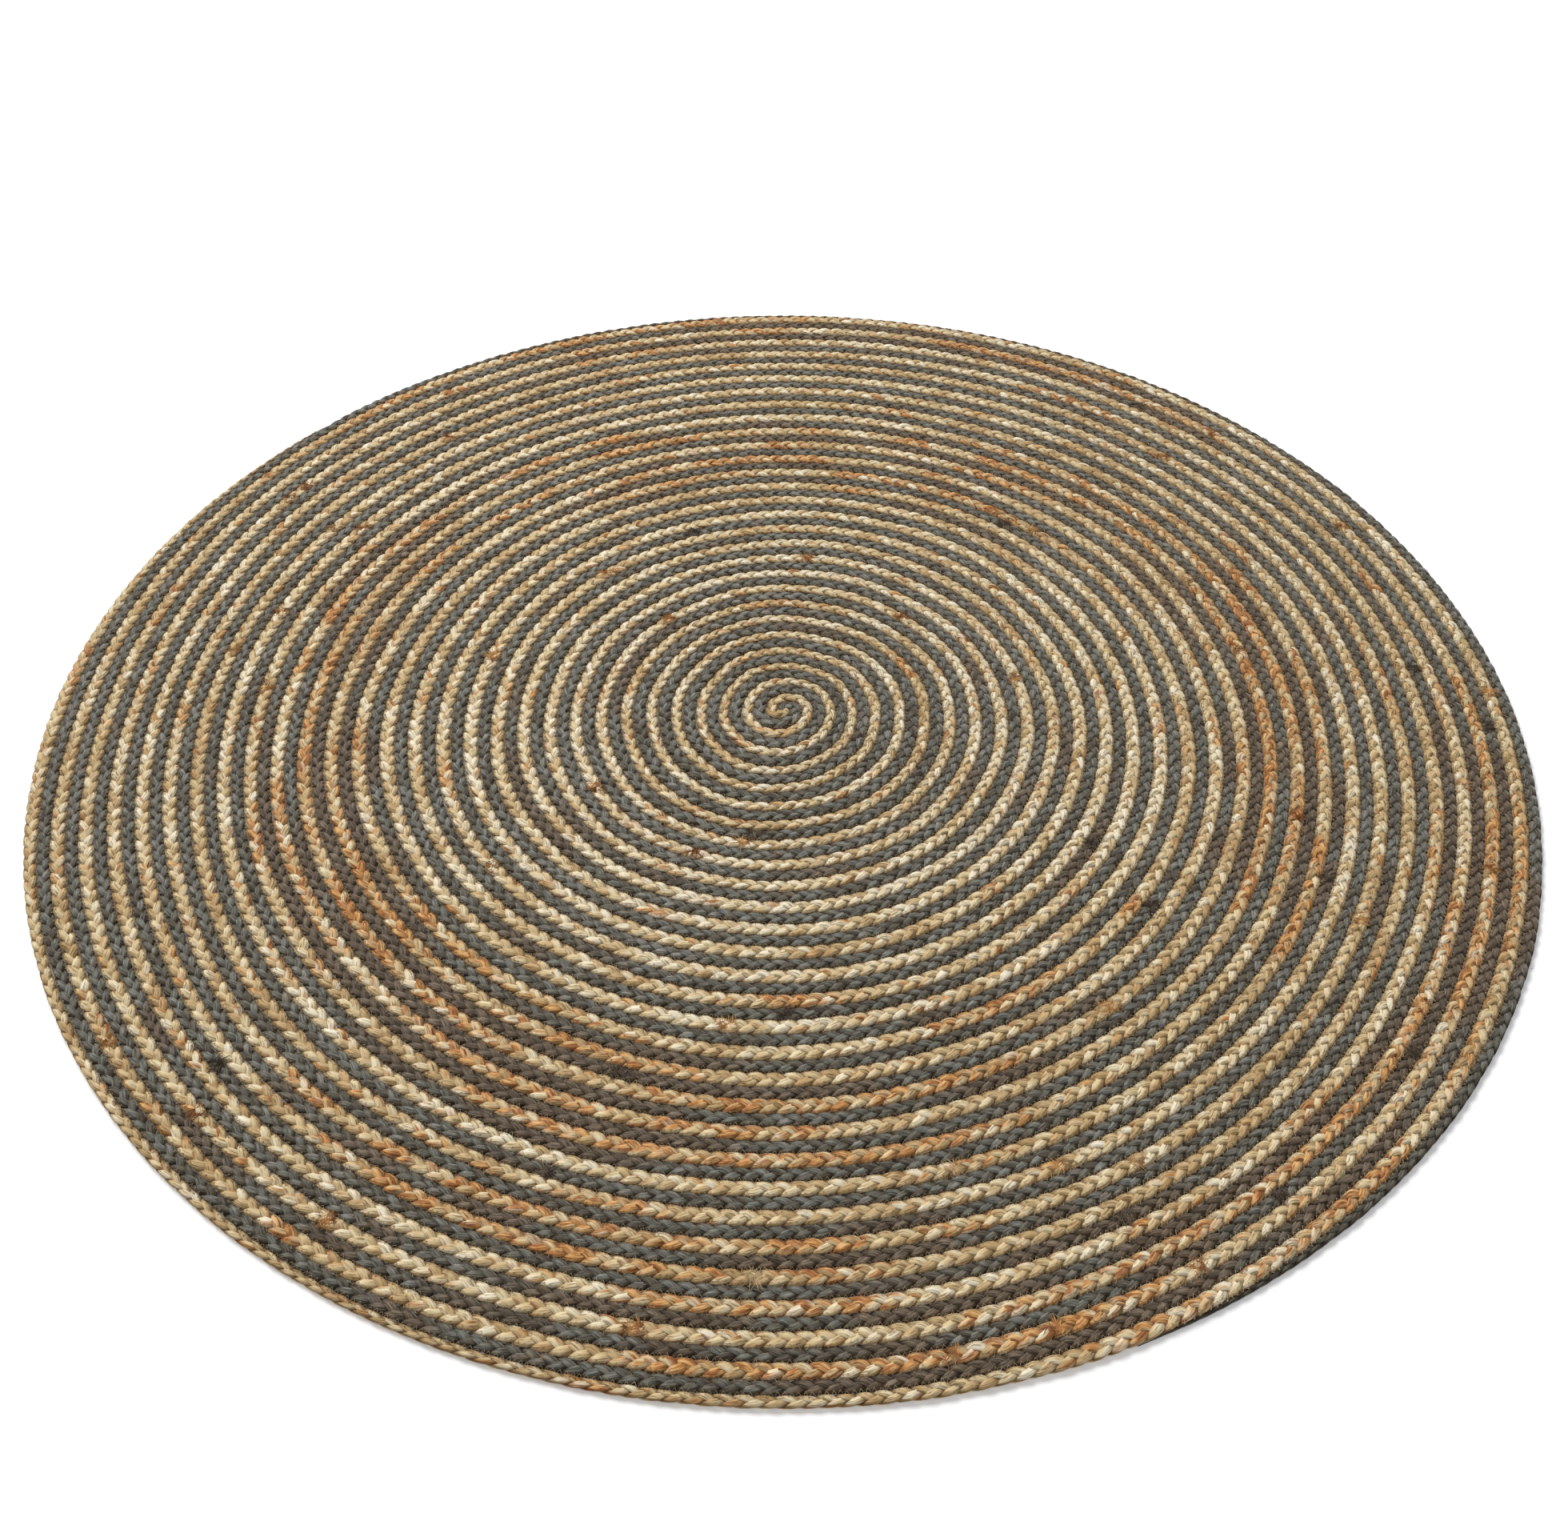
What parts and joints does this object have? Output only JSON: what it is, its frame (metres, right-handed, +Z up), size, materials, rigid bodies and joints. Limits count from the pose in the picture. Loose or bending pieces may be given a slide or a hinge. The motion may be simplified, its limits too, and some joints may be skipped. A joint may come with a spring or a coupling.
{
  "type": "round braided area rug",
  "caption": "Round area rug of natural and charcoal jute plaits wound in a double spiral and sewn edge to edge.",
  "frame": {"origin": "middle of the underside, on the floor", "axes": "+Z up from the floor through the rug's thickness; +X and +Y in the floor plane"},
  "size_m": [1.8, 1.7986, 0.009],
  "materials": {
    "natural_jute": "matte",
    "charcoal_jute": "matte",
    "sewing_thread": "matte"
  },
  "bodies": {
    "root": {"natural_strand_1": "natural_jute", "natural_strand_2": "natural_jute", "natural_strand_3": "natural_jute", "charcoal_strand_1": "charcoal_jute", "charcoal_strand_2": "charcoal_jute", "charcoal_strand_3": "charcoal_jute", "natural_edge_needle_thread": "sewing_thread", "natural_edge_bobbin_thread": "sewing_thread", "charcoal_edge_needle_thread": "sewing_thread", "charcoal_edge_bobbin_thread": "sewing_thread"}
  },
  "joints": []
}
